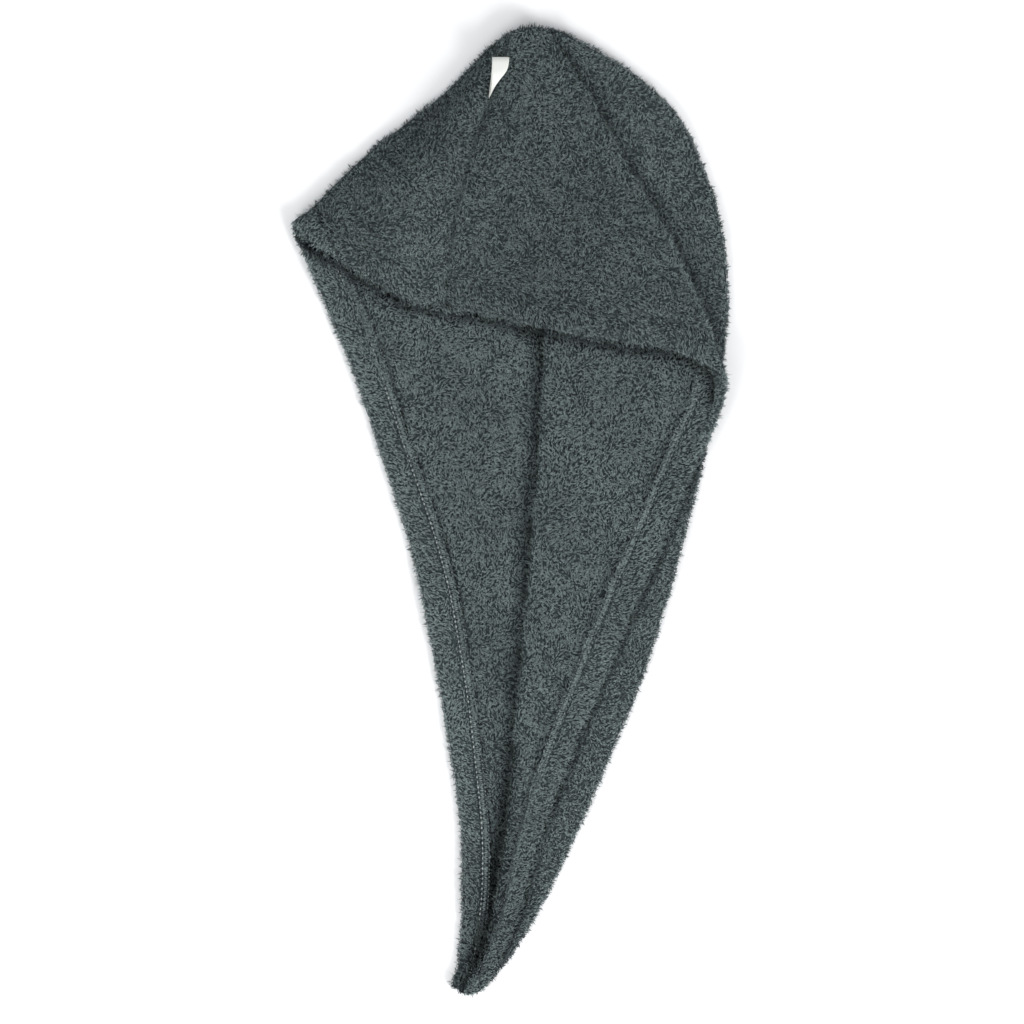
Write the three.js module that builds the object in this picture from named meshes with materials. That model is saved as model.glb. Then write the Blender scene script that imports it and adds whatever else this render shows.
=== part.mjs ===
// A hair turban towel of thick terry cloth, lying on its back on a flat surface.
// Two mirrored panels are sewn together along one long back seam, which starts at the front hem, passes
// over the crown and ends at the tail's tip. The left panel lies flat underneath. The right panel lies on it
// and is folded back twice: its lower part is opened like a page, so that the hem of its long edge lies on
// the right, and its upper part closes the pocket that takes the back of the head.
// A loop of flat tape is sewn into the seam near the crown's top.
// Millimetres, +X to the right hem, +Y from the tail's tip to the crown, +Z up from the surface.
import * as THREE from "three";

// Overall size of the towel as it lies.
const length = 647; // tip of the tail to the top of the crown
const width = 292; // left corner to the widest point of the back seam

// The cloth.
const cloth = 3; // one layer of terry
const layerGap = 0.7; // air between two layers that lie on each other
const foldRound = 1.2; // how much wider than its layers a soft fold stays
const seamGap = 0.5; // between the two panels, all along the seam
const hemWidth = 20; // turned-in edge
const hemStep = 2.2; // how much thicker the cloth is there
const hemLedge = 1.2; // width of the slope from hem to plain cloth
const hemDrape = 12; // how far from the left hem the layer above it comes down again

// The pocket, measured up from the surface to the middle of the front layer.
const pocketRise = 25; // over the fullest part of the crown
const mouthRise = 23; // at the front hem's highest point
const openSwell = 2.5; // how far the opened page of the right panel arches
const archShare = 0.5; // how much of the pocket's spare height its front bulges between folds and seam
const archLead = 0.7; // under 1 the bulge is fullest nearer to the mouth

// The crown's top, where the back rises behind the folded layers to meet the front.
const crownDrop = 14.4; // how far its ends lie below its middle
const backSlack = 0.3; // between the risen back and what it meets
const tuckBack = 5; // how far the layers inside end short of the top
const tipRise = 5.4; // how far the ends of the tail's tip lie above its middle

// How far below a corner the hem's edge starts to curl up.
const leftCurlReach = 60;
const rightCurlReach = 95;

// The tape loop.
const loopWidth = 12;
const loopReach = 27.5; // from the seam's lower stitch to the bight
const loopLean = 2; // how far the bight lies to the right of the foot
const loopCloth = 1.1; // thickness of the tape
const loopGap = 6; // inside the loop, between its two runs
const loopClearance = 0.4; // from the cloth below, and between its two ends

// How the cloth lies, from the tail's tip to the crown's top. up is a share of length, and the others are
// shares of width, counted from the left corner:
// left   the left hem's edge, and above the left corner the fold that closes the pocket
// spine  the back seam on the right
// turn   the line along which the right panel's lower layer turns back over itself
// lip    the right hem's edge, and above the right corner the crease that goes on to the crown's top
const lie = [
  { up: 0.0, left: 0.381, spine: 0.443, turn: 0.391, lip: 0.438 },
  { up: 0.012, left: 0.378, spine: 0.459, turn: 0.403, lip: 0.45 },
  { up: 0.032, left: 0.384, spine: 0.495, turn: 0.426, lip: 0.473 },
  { up: 0.073, left: 0.392, spine: 0.552, turn: 0.458, lip: 0.515 },
  { up: 0.15, left: 0.393, spine: 0.637, turn: 0.487, lip: 0.566 },
  { up: 0.253, left: 0.364, spine: 0.738, turn: 0.509, lip: 0.652 },
  { up: 0.356, left: 0.325, spine: 0.827, turn: 0.531, lip: 0.748 },
  { up: 0.459, left: 0.276, spine: 0.892, turn: 0.551, lip: 0.849 },
  { up: 0.562, left: 0.204, spine: 0.95, turn: 0.568, lip: 0.946 },
  { up: 0.6, left: 0.176, spine: 0.967, turn: 0.573, lip: 0.985 },
  { up: 0.631, left: 0.153, spine: 0.981, turn: 0.577, lip: 1.0 },
  { up: 0.662, left: 0.127, spine: 0.992, turn: 0.58, lip: 0.971 },
  { up: 0.716, left: 0.073, spine: 1.002, turn: 0.584, lip: 0.928 },
  { up: 0.79, left: -0.003, spine: 0.988, turn: 0.59, lip: 0.85 },
  { up: 0.87, left: 0.169, spine: 0.931, turn: 0.592, lip: 0.751 },
  { up: 0.9, left: 0.259, spine: 0.9, turn: 0.591, lip: 0.72 },
  { up: 0.942, left: 0.357, spine: 0.831, turn: 0.586, lip: 0.666 },
  { up: 0.97, left: 0.399, spine: 0.776, turn: 0.572, lip: 0.622 },
  { up: 0.985, left: 0.42, spine: 0.731, turn: 0.56, lip: 0.6 },
  { up: 1.0, left: 0.452, spine: 0.677, turn: 0.547, lip: 0.583 },
];
const leftCorner = 0.79;
const rightCorner = 0.631;
const tip = 0;
const top = 1;
const mouthReach = 0.55; // of the way into the pocket, to where its mouth no longer shapes it
const leastBend = 0.02; // radians, of a flat edge
const maxSlant = 2.2; // of a fold, beyond which it isn't widened
const crownStart = 0.9; // above it the rows bend round to the crown's top
const tipEnd = 0.03; // below it they bend round to the tail's tip
const tipHemShare = 0.35; // of the tail's width, the most that its hem takes
const ledgeShare = 0.1; // of a layer's width, the most that the slope of its hem takes
const settleReach = 30; // how far from the turn the layer above it comes down
const tuckStart = 0.965; // above it the layers inside fall short of the outer ones
const swellFrom = 0.2; // the opened page arches between these
const swellTo = 0.7;

// The front seam, from the front hem to the crown's top: where it lies and how high it stands over the
// surface, as a share of pocketRise.
const frontSeam = [
  { up: 0.706, across: 0.351, rise: 0.4 },
  { up: 0.76, across: 0.36, rise: 0.74 },
  { up: 0.82, across: 0.383, rise: 0.88 },
  { up: 0.88, across: 0.421, rise: 0.82 },
  { up: 0.93, across: 0.458, rise: 0.7 },
  { up: 0.97, across: 0.486, rise: 0.62 },
  { up: 1.0, across: 0.502, rise: 0.6 },
];

// The front hem's edge, from the left corner to the right one. across is a share of width, up a share of
// length, and rise a share of mouthRise.
const mouth = [
  { across: -0.003, up: 0.79, rise: 0.58 },
  { across: 0.11, up: 0.755, rise: 0.66 },
  { across: 0.19, up: 0.732, rise: 0.6 },
  { across: 0.27, up: 0.714, rise: 0.44 },
  { across: 0.351, up: 0.706, rise: 0.42 },
  { across: 0.44, up: 0.7, rise: 0.56 },
  { across: 0.54, up: 0.689, rise: 0.78 },
  { across: 0.64, up: 0.68, rise: 0.82 },
  { across: 0.74, up: 0.672, rise: 0.84 },
  { across: 0.84, up: 0.666, rise: 0.97 },
  { across: 0.92, up: 0.656, rise: 1.0 },
  { across: 1.0, up: 0.631, rise: 0.98 },
];

// The tape loop leaves the front seam on its edge and turns flat towards its bight. along is a share of
// loopReach. wide is how much of loopWidth lies across the towel, raised how far its near edge stands over
// its far edge, as a share of loopWidth too, and open the space inside the loop, as a share of loopGap.
const loopFoot = 0.9245; // share of length
const loopTwist = [
  { along: 0.0, wide: 0.1, raised: 0.3, open: 0.0 },
  { along: 0.2, wide: 0.24, raised: 0.26, open: 0.2 },
  { along: 0.42, wide: 0.5, raised: 0.17, open: 0.6 },
  { along: 0.62, wide: 0.8, raised: 0.07, open: 0.95 },
  { along: 0.8, wide: 0.97, raised: 0.01, open: 1.0 },
  { along: 1.0, wide: 1.0, raised: 0.0, open: 1.0 },
];

// How finely the sheets are cut up.
const rowPitch = 18; // between rows along the towel
const tipRows = [0.012, 0.03]; // closer rows where the tail and the crown round off, as shares of length
const crownRows = [0.94, 0.968, 0.985];
const runSteps = 6; // across a plain run of cloth
const wideSteps = 14; // across the whole back
const bandSteps = 3; // across the left hem, before its edge curls
const frontSteps = 12; // across the pocket's front, right of its seam
const sideSteps = 7; // and left of it
const foldSteps = 5; // round a whole fold
const curlSteps = 3; // round half a fold
const edgeSteps = 2; // where a layer bends to the seam
const loopSteps = 9; // along each run of the loop
const bightSteps = 4; // round its bight
const tapeSteps = 4; // across the tape
const tinyStep = 0.002; // for slopes, as a share of length
const leastWall = 0.002; // what is left of a wall with no room

// Heights of the middle of each layer.
const lowLayer = cloth / 2;
const middleLayer = lowLayer + cloth + layerGap;
const highLayer = middleLayer + cloth + layerGap;
const seamHeight = (lowLayer + middleLayer) / 2;

const mix = (a, b, share) => a + (b - a) * share;
const clamp01 = (value) => Math.min(1, Math.max(0, value));
const ease = (value) => clamp01(value) ** 2 * (3 - 2 * clamp01(value));
const halfWave = (share) => Math.sin(Math.PI * clamp01(share));

// A smooth reading of one column of a table, without overshoot between its rows.
function track(rows, along, column, from = -Infinity, to = Infinity) {
  const used = rows.filter((row) => row[along] >= from && row[along] <= to);
  const at = used.map((row) => row[along]);
  const values = used.map((row) => row[column]);
  const slopes = at.slice(1).map((next, i) => (values[i + 1] - values[i]) / (next - at[i]));
  const tangents = values.map((_, i) => {
    if (i === 0) return slopes[0];
    if (i === slopes.length) return slopes[i - 1];
    const before = slopes[i - 1];
    const after = slopes[i];
    return before * after <= 0 ? 0 : (2 * before * after) / (before + after);
  });
  return (place) => {
    const clamped = Math.min(at[at.length - 1], Math.max(at[0], place));
    let i = 0;
    while (i < slopes.length - 1 && clamped > at[i + 1]) i += 1;
    const span = at[i + 1] - at[i];
    const s = (clamped - at[i]) / span;
    const lift = (1 + 2 * s) * (1 - s) ** 2 * values[i] + s ** 2 * (3 - 2 * s) * values[i + 1];
    return lift + span * (s * (1 - s) ** 2 * tangents[i] - s ** 2 * (1 - s) * tangents[i + 1]);
  };
}

// A column of the lie table that has a corner where the hem leaves the surface.
function cornered(column, corner) {
  const below = track(lie, "up", column, tip, corner);
  const above = track(lie, "up", column, corner, top);
  return (up) => (up < corner ? below(up) : above(up));
}

const acrossToX = (share) => (share - 0.5) * width;
const upToY = (share) => (share - 0.5) * length;
const leftShare = cornered("left", leftCorner);
const lipShare = cornered("lip", rightCorner);
const spineShare = track(lie, "up", "spine");
const turnShare = track(lie, "up", "turn");
const seamShare = track(frontSeam, "up", "across");
const seamRise = track(frontSeam, "up", "rise");
const mouthUp = track(mouth, "across", "up");
const mouthLift = track(mouth, "across", "rise");
const seamFoot = frontSeam[0].up;

// Where a row passes a place: rows near the crown's top bend down at both ends, and the tip's rows bend up.
function rowToY(x, up) {
  const from = acrossToX(leftShare(up));
  const to = acrossToX(spineShare(up));
  const place = (2 * x - from - to) / (to - from);
  const drop = crownDrop * ease((up - crownStart) / (top - crownStart)) - tipRise * ease(1 - up / tipEnd);
  return upToY(up) - drop * place ** 2;
}

// How much wider than its radius a fold along a slanting line is, measured across the towel.
function slant(line, up) {
  const before = Math.max(tip, up - tinyStep);
  const after = Math.min(top, up + tinyStep);
  const shift = acrossToX(line(after)) - acrossToX(line(before));
  const climb = rowToY(acrossToX(line(after)), after) - rowToY(acrossToX(line(before)), before);
  return Math.min(maxSlant, Math.hypot(1, shift / climb));
}

// How much of the shortening at the crown's top a row takes.
const tuck = (up) => ease((up - tuckStart) / (top - tuckStart));

// Evenly spaced values from one to the other, both included.
function spread(from, to, steps) {
  return Array.from({ length: steps + 1 }, (_, i) => mix(from, to, i / steps));
}

// The rows of both panels, as shares of length: both corners, both sides of each hem and an even pitch.
function rowShares() {
  const hem = (hemWidth - hemLedge) / length;
  const ledge = hemWidth / length;
  const stops = [tip, ...tipRows, rightCorner, rightCorner + hem, rightCorner + ledge, leftCorner,
    leftCorner + hem, leftCorner + ledge, ...crownRows, top];
  return stops.slice(1).reduce((rows, stop, i) => {
    const steps = Math.max(1, Math.round(((stop - stops[i]) * length) / rowPitch));
    return rows.concat(spread(stops[i], stop, steps).slice(1));
  }, [tip]);
}

// Open sheets, kept as numbered points with a thickness on their inner side, and four-cornered faces.
class Sheet {
  constructor() {
    this.points = [];
    this.extra = [];
    this.facings = [];
    this.faces = [];
  }

  // One row of points. Each is { x, y, z, hem, facing }: hem is 1 where the edge is turned in, and facing is
  // the direction of the sheet's front, given only where it meets the other panel.
  addRow(points) {
    return points.map(({ x, y, z, hem = 0, facing }) => {
      this.points.push(new THREE.Vector3(x, y, z));
      this.extra.push(hem * hemStep);
      this.facings.push(facing);
      return this.points.length - 1;
    });
  }

  // Faces between rows of equal length.
  join(rows) {
    rows.slice(1).forEach((next, i) => {
      next.slice(1).forEach((_, j) => {
        this.faces.push([rows[i][j], rows[i][j + 1], next[j + 1], next[j]]);
      });
    });
  }

  // The direction of the sheet's front at each point.
  normals() {
    const found = this.points.map(() => new THREE.Vector3());
    for (const face of this.faces) {
      const [a, b, c, d] = face.map((i) => this.points[i]);
      const across = new THREE.Vector3().subVectors(c, a);
      const normal = across.cross(new THREE.Vector3().subVectors(d, b));
      face.forEach((i) => found[i].add(normal));
    }
    return found.map((normal, i) => (this.facings[i] ?? normal).normalize());
  }

  // The closed solid with the given wall. inner is 1 if the thicker side is in front, or -1.
  thicken(wall, inner) {
    const normals = this.normals();
    const side = (sign) => this.points.map((point, i) => {
      const reach = wall / 2 + (sign === inner ? this.extra[i] : 0);
      return point.clone().addScaledVector(normals[i], sign * reach);
    });
    const corners = [...side(1), ...side(-1)];
    const behind = this.points.length;
    const triangles = [];
    const edges = new Map();
    for (const [a, b, c, d] of this.faces) {
      triangles.push([a, b, c], [a, c, d]);
      triangles.push([a, c, b].map((i) => i + behind), [a, d, c].map((i) => i + behind));
      for (const [from, to] of [[a, b], [b, c], [c, d], [d, a]]) edges.set(`${from},${to}`, [from, to]);
    }
    for (const [from, to] of edges.values()) {
      if (edges.has(`${to},${from}`)) continue;
      triangles.push([from, from + behind, to + behind], [from, to + behind, to]);
    }
    const geometry = new THREE.BufferGeometry();
    const flat = corners.flatMap((corner) => corner.toArray());
    geometry.setAttribute("position", new THREE.Float32BufferAttribute(flat, 3));
    geometry.setIndex(triangles.flat());
    geometry.computeVertexNormals();
    return geometry;
  }
}

// Where a layer bends to meet the other panel at the back seam. toSeam is 1 if it bends up, or -1.
function seamEdge(up, layer, toSeam) {
  const spineX = acrossToX(spineShare(up));
  const nextX = acrossToX(spineShare(up + tinyStep)) - acrossToX(spineShare(up - tinyStep));
  const endHeight = seamHeight - (toSeam * seamGap) / 2;
  const radius = Math.abs(endHeight - layer);
  const wider = slant(spineShare, up);
  return spread(0, Math.PI / 2, edgeSteps).map((angle, i) => ({
    x: spineX - wider * (cloth / 2 + radius * (1 - Math.cos(angle))),
    z: endHeight - toSeam * radius * Math.sin(angle),
    facing: i === 0 ? new THREE.Vector3(2 * tinyStep * length, -nextX, 0).multiplyScalar(toSeam) : undefined,
  }));
}

// How high the left panel's hem lifts the layer that lies on it.
function hemLift(x, up) {
  const inner = leftHemBorder(up) + hemLedge + cloth / 2;
  return up < leftCorner ? hemStep * (1 - ease((x - inner) / hemDrape)) : 0;
}

// The inner border of the left panel's hem, which narrows with the tail's tip.
function leftHemBorder(up) {
  const leftX = acrossToX(leftShare(up));
  return leftX + Math.min(hemWidth, (acrossToX(spineShare(up)) - leftX) * tipHemShare);
}

// How far an edge has curled up on its way to a corner: 0 where it lies flat, 1 at the corner.
const curlShare = (up, corner, reach) => ease(1 - ((corner - up) * length) / reach);

// The last stretch of a layer, which rises into the fold above a corner and lies flat far below it.
// outward is 1 towards +X. It ends at the edge of the cloth, or half way round the fold. wider is how much
// the fold's line slants.
function curl(edgeX, layer, radius, share, outward, hem, wider) {
  const reach = (radius * Math.PI) / 2;
  const bend = Math.max(leastBend, (share * Math.PI) / 2);
  const round = reach / bend;
  const startX = edgeX - outward * wider * (round + cloth / 2) * Math.sin(bend);
  return spread(0, bend, curlSteps).map((angle) => ({
    x: startX + outward * wider * round * Math.sin(angle),
    z: layer + round * (1 - Math.cos(angle)),
    hem,
  }));
}

// Height of the pocket's front over the surface. share runs from the fold (0) to the front seam (1), and
// inside from the front hem (0) to the crown's top (1).
function frontHeight(x, share, inside, seamUp, layer) {
  const atMouth = mouthRise * mouthLift(x / width + 0.5);
  const softFold = layer + cloth + layerGap + 2 * foldRound;
  const atSeam = pocketRise * seamRise(seamUp);
  const arch = (pocketRise - softFold) * archShare * halfWave(share) * halfWave(inside ** archLead);
  const within = mix(softFold, atSeam, Math.sin((share * Math.PI) / 2)) + arch;
  return mix(atMouth, within, ease(inside / mouthReach));
}

// How the pocket's front hangs on one of its folds: the row that starts there and ends at the seam.
// The hem is as wide at the seam as at the fold, and above it the rows spread evenly to the top.
function frontRow(up, corner, steps, line, layer, outward, foldShort) {
  const foldX = acrossToX(line(up));
  const wider = slant(line, Math.max(up, corner + tinyStep));
  const past = (up - corner) * length;
  const reach = (top - corner) * length;
  const seamReach = (top - seamFoot) * length;
  const seamPast = past <= hemWidth
    ? past
    : hemWidth + ((past - hemWidth) * (seamReach - hemWidth)) / (reach - hemWidth);
  const seamUp = seamFoot + seamPast / length;
  const inside = past / reach;
  const seamX = acrossToX(seamShare(seamUp)) + (outward * seamGap) / 2;
  const hem = past < hemWidth - hemLedge / 2 ? 1 : 0;
  const radius = foldRadius(foldX, up, corner, layer);
  const startX = foldX - outward * wider * (cloth / 2 + radius);
  const place = (x) => {
    const share = (x - foldX) / (seamX - foldX);
    const dip = mouthUp(x / width + 0.5) - mix(corner, seamFoot, share);
    return rowToY(x, mix(up, seamUp, share) + dip * (1 - inside) ** 3) - foldShort * (1 - share) ** 4;
  };
  const fold = spread(Math.PI / 2, Math.PI, curlSteps).slice(1).map((angle) => {
    const x = startX + outward * wider * radius * Math.sin(angle);
    return { x, y: place(x), z: layer + radius * (1 - Math.cos(angle)), hem };
  });
  const climb = (seamRise(seamUp + tinyStep) - seamRise(seamUp - tinyStep)) * pocketRise;
  const seamFacing = new THREE.Vector3(0, climb, -2 * tinyStep * length).multiplyScalar(outward);
  const run = spread(startX, seamX, steps).slice(1).map((x, i) => {
    const z = frontHeight(x, (x - startX) / (seamX - startX), inside, seamUp, layer);
    return { x, y: place(x), z, hem, facing: i === steps - 1 ? seamFacing : undefined };
  });
  return [...fold, ...run];
}

// Radius of the fold that joins a lower layer to the pocket's front.
function foldRadius(foldX, up, corner, layer) {
  const inside = Math.max(0, up - corner) / (top - corner);
  return (frontHeight(foldX, 0, inside, seamFoot, layer) - layer) / 2;
}

// Whether the fold at a corner is still within the hem, 1 or 0.
const hemAt = (up, corner) => ((up - corner) * length < hemWidth - hemLedge / 2 ? 1 : 0);

// The left panel: the whole back, its hem on the left, and the pocket's front left of the seam.
function leftPanel(rows) {
  const sheet = new Sheet();
  const backEnd = seamHeight - seamGap / 2 - lowLayer;
  const backShort = (up) => tuck(up) * (cloth / 2 + backEnd);
  const back = rows.map((up) => {
    const leftX = acrossToX(leftShare(up));
    const edge = seamEdge(up, lowLayer, 1);
    const radius = foldRadius(leftX, up, leftCorner, lowLayer);
    const share = up < leftCorner ? curlShare(up, leftCorner, leftCurlReach) : 1;
    const hem = hemAt(up, leftCorner);
    const wider = slant(leftShare, Math.max(up, leftCorner + tinyStep));
    const ends = curl(leftX, lowLayer, radius, share, -1, hem, wider);
    const border = Math.max(ends[0].x + hemLedge, leftHemBorder(up));
    const run = spread(edge[edge.length - 1].x, border + hemLedge, wideSteps).slice(1);
    const points = [
      ...edge,
      ...run.map((x) => ({ x, z: lowLayer })),
      ...spread(border, ends[0].x, bandSteps).slice(0, -1).map((x) => ({ x, z: lowLayer, hem })),
      ...ends,
    ];
    return sheet.addRow(points.map((point) => ({ ...point, y: rowToY(point.x, up) - backShort(up) })));
  });
  sheet.join(back);
  const cornerRow = rows.indexOf(leftCorner);
  const front = rows.slice(cornerRow).map((up, i) => {
    const fold = back[cornerRow + i][back[0].length - 1];
    const row = frontRow(up, leftCorner, sideSteps, leftShare, lowLayer, -1, backShort(up));
    return [fold, ...sheet.addRow(row)];
  });
  sheet.join(front);
  const topRow = back[back.length - 1];
  sheet.join(risenBack(sheet, topRow.slice(edgeSteps, topRow.length - curlSteps), backEnd));
  return sheet.thicken(cloth, -1);
}

// The back's top edge, which rises behind the folded layers to the underside of what lies over it: from the
// left fold's to the front's, along that to the crease, and down again to the strip on the right.
function risenBack(sheet, edge, radius) {
  const creaseX = acrossToX(lipShare(top));
  const seamX = acrossToX(seamShare(top));
  const foldX = sheet.points[edge[edge.length - 1]].x;
  const overStrip = lowLayer + radius;
  const under = cloth + layerGap + 2 * foldRound - cloth / 2 - backSlack;
  const overFold = lowLayer + under;
  const overCrease = highLayer + under;
  const rise = (x) => (x < seamX
    ? mix(overFold, overCrease, ease((x - foldX) / (seamX - foldX)))
    : mix(overCrease, overStrip, ease((x - creaseX + 3 * cloth) / (2 * cloth))));
  const bend = spread(0, Math.PI / 2, edgeSteps).slice(1).map((angle) => sheet.addRow(edge.map((i) => {
    const { x, y, z } = sheet.points[i];
    return { x, y: y + radius * Math.sin(angle), z: z + radius * (1 - Math.cos(angle)) };
  })));
  const wall = sheet.addRow(edge.map((i) => {
    const { x, y } = sheet.points[i];
    return { x, y: y + radius, z: rise(x) + leastWall, facing: new THREE.Vector3(0, 1, 0) };
  }));
  return [edge, ...bend, wall];
}

// The right panel: up from the back seam, back over itself at the turn, and on to the hem or the pocket.
function rightPanel(rows) {
  const sheet = new Sheet();
  const turnRadius = (cloth + layerGap) / 2 + foldRound;
  const short = (x, up) => {
    const creaseX = acrossToX(lipShare(up));
    return tuck(up) * tuckBack * ease((creaseX + cloth - x) / (2 * cloth));
  };
  const page = rows.map((up) => {
    const turnX = acrossToX(turnShare(up));
    const lipX = acrossToX(lipShare(up));
    const edge = seamEdge(up, middleLayer + hemLift(acrossToX(spineShare(up)), up), -1);
    const turnEnd = turnX + cloth / 2 + turnRadius;
    const under = spread(edge[edge.length - 1].x, turnEnd, runSteps).slice(1, -1);
    const turn = spread(0, Math.PI, foldSteps).map((angle) => ({
      x: turnEnd - turnRadius * Math.sin(angle),
      z: middleLayer + turnRadius * (1 - Math.cos(angle)),
    }));
    const radius = foldRadius(lipX, up, rightCorner, highLayer);
    const share = up < rightCorner ? curlShare(up, rightCorner, rightCurlReach) : 1;
    const hem = hemAt(up, rightCorner);
    const wider = slant(lipShare, Math.max(up, rightCorner + tinyStep));
    const ends = curl(lipX, highLayer, radius, share, 1, hem, wider);
    const room = ends[0].x - turnEnd;
    const border = ends[0].x - Math.min(room / 2, hemWidth - (share * radius * Math.PI) / 2);
    const over = spread(turnEnd, border - Math.min(hemLedge, room * ledgeShare), runSteps).slice(1);
    const settle = Math.min(settleReach, room);
    const overHeight = (x) => {
      const settled = 2 * foldRound * (1 - ease((x - turnEnd) / settle));
      const swell = openSwell * halfWave((up - swellFrom) / (swellTo - swellFrom));
      return highLayer + settled + swell * halfWave((x - turnEnd) / (border - turnEnd));
    };
    const lifted = [
      ...under.map((x) => ({ x, z: middleLayer })),
      ...turn,
      ...over.map((x) => ({ x, z: overHeight(x) })),
      { x: border, z: overHeight(border), hem },
      ...ends,
    ].map((point) => ({ ...point, z: point.z + hemLift(point.x, up) }));
    return sheet.addRow([...edge, ...lifted].map((point) => ({
      ...point,
      y: rowToY(point.x, up) - short(point.x, up),
    })));
  });
  sheet.join(page);
  const cornerRow = rows.indexOf(rightCorner);
  const front = rows.slice(cornerRow).map((up, i) => {
    const fold = page[cornerRow + i][page[0].length - 1];
    const foldShort = short(acrossToX(lipShare(up)), up);
    const row = frontRow(up, rightCorner, frontSteps, lipShare, highLayer, 1, foldShort);
    return [fold, ...sheet.addRow(row)];
  });
  sheet.join(front);
  return sheet.thicken(cloth, 1);
}

// The tape loop, laid on the panels beneath it. Its near edge runs up the crown.
function tapeLoop(panels) {
  const [wide, raised, open] = ["wide", "raised", "open"].map((column) => track(loopTwist, "along", column));
  const footX = acrossToX(seamShare(loopFoot)) - loopCloth / 2;
  const footY = upToY(loopFoot);
  const down = new THREE.Raycaster();
  const heightAt = ({ x, y }) => {
    down.set(new THREE.Vector3(x, y, length), new THREE.Vector3(0, 0, -1));
    return down.intersectObjects(panels)[0].point.z;
  };
  const bight = (loopGap + loopCloth) / 2;
  const straight = loopReach - bight - loopCloth / 2;
  const stations = spread(0, 1, loopSteps).map((share) => {
    const points = spread(0, 1, tapeSteps).map((part) => ({
      x: footX + share * loopLean + part * loopWidth * wide(share),
      y: footY + share * straight,
      lean: (1 - part) * loopWidth * raised(share),
    }));
    const low = Math.max(...points.map((point) => heightAt(point) - point.lean)) + loopClearance + loopCloth;
    const apart = (loopCloth + mix(loopClearance, loopGap, open(share))) / Math.hypot(wide(share), raised(share));
    return { points, low, aside: apart * raised(share), above: apart * wide(share) };
  });
  const sheet = new Sheet();
  const at = (points, ahead, z, aside = 0) => sheet.addRow(points.map(({ x, y, lean }) => (
    { x: x + aside, y: y + ahead, z: z + lean }
  )));
  const lower = stations.map(({ points, low }) => at(points, 0, low));
  const { points: last, low: lastLow } = stations[loopSteps];
  const round = spread(0, Math.PI, bightSteps).slice(1, -1).map((angle) => (
    at(last, bight * Math.sin(angle), lastLow + bight * (1 - Math.cos(angle)))
  ));
  const upper = stations.map(({ points, low, aside, above }) => at(points, 0, low + above, aside));
  sheet.join([...lower, ...round, ...upper.reverse()]);
  return sheet.thicken(loopCloth, 1);
}

const terry = new THREE.MeshStandardMaterial({ name: "terry", color: 0x434d4f, roughness: 1, metalness: 0 });
const tape = new THREE.MeshStandardMaterial({ name: "tape", color: 0xecf0ec, roughness: 0.9, metalness: 0 });

function piece(name, geometry, material) {
  const mesh = new THREE.Mesh(geometry, material.clone());
  mesh.name = name;
  return mesh;
}

const rows = rowShares();
const panels = [
  piece("left_panel", leftPanel(rows), terry),
  piece("right_panel", rightPanel(rows), terry),
];
const towel = new THREE.Group();
towel.add(...panels, piece("elastic_loop", tapeLoop(panels), tape));

// The origin is on the surface, under the middle of the towel.
const box = new THREE.Box3().setFromObject(towel);
const middle = box.getCenter(new THREE.Vector3());
towel.position.set(-middle.x, -middle.y, -box.min.z);

export default towel;
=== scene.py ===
# The looks of a hair turban towel of looped terry cloth, lying on its back on a pale floor.
# Metres, +X to the right hem, +Y from the tail's tip to the crown, +Z up from the floor.
import math

import bmesh
import bpy
import numpy as np
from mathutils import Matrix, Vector
from mathutils.bvhtree import BVHTree


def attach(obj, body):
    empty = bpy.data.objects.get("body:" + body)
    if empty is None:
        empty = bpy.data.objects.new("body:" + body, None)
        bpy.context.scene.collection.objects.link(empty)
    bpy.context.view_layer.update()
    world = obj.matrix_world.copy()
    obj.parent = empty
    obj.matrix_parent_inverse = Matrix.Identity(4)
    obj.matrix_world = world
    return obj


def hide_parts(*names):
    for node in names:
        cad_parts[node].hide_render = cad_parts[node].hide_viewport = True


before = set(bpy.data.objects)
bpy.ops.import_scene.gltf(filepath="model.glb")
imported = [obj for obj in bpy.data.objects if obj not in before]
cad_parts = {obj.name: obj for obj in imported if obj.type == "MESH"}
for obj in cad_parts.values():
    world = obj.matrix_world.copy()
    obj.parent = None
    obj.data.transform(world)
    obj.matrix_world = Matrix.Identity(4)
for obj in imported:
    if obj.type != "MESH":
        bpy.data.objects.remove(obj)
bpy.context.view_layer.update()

# The towel as it lies. LENGTH runs from the tail's tip to the crown's top, WIDTH from the left corner to
# the back seam.
LENGTH = 0.647
WIDTH = 0.292
SHIFT_X = -0.000285  # from the middle of those two to the frame's origin
SHIFT_Y = 0.000312
CLOTH = 0.003  # one layer
UNDERSIDE = 0.0004  # of the cloth, over the floor, with flattened pile beneath it

# The cloth's edges and folds, as shares of LENGTH (up) and WIDTH (across).
LEFT_HEM = [
    (0.0, 0.381), (0.012, 0.378), (0.032, 0.384), (0.073, 0.392), (0.15, 0.393), (0.253, 0.364),
    (0.356, 0.325), (0.459, 0.276), (0.562, 0.204), (0.6, 0.176), (0.631, 0.153), (0.662, 0.127),
    (0.716, 0.073), (0.79, -0.003),
]
RIGHT_HEM = [
    (0.0, 0.438), (0.012, 0.45), (0.032, 0.473), (0.073, 0.515), (0.15, 0.566), (0.253, 0.652),
    (0.356, 0.748), (0.459, 0.849), (0.562, 0.946), (0.6, 0.985), (0.631, 1.0),
]
TURN = [
    (0.0, 0.391), (0.012, 0.403), (0.032, 0.426), (0.073, 0.458), (0.15, 0.487), (0.253, 0.509),
    (0.356, 0.531), (0.459, 0.551), (0.562, 0.568), (0.631, 0.577), (0.688, 0.583),
]
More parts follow.
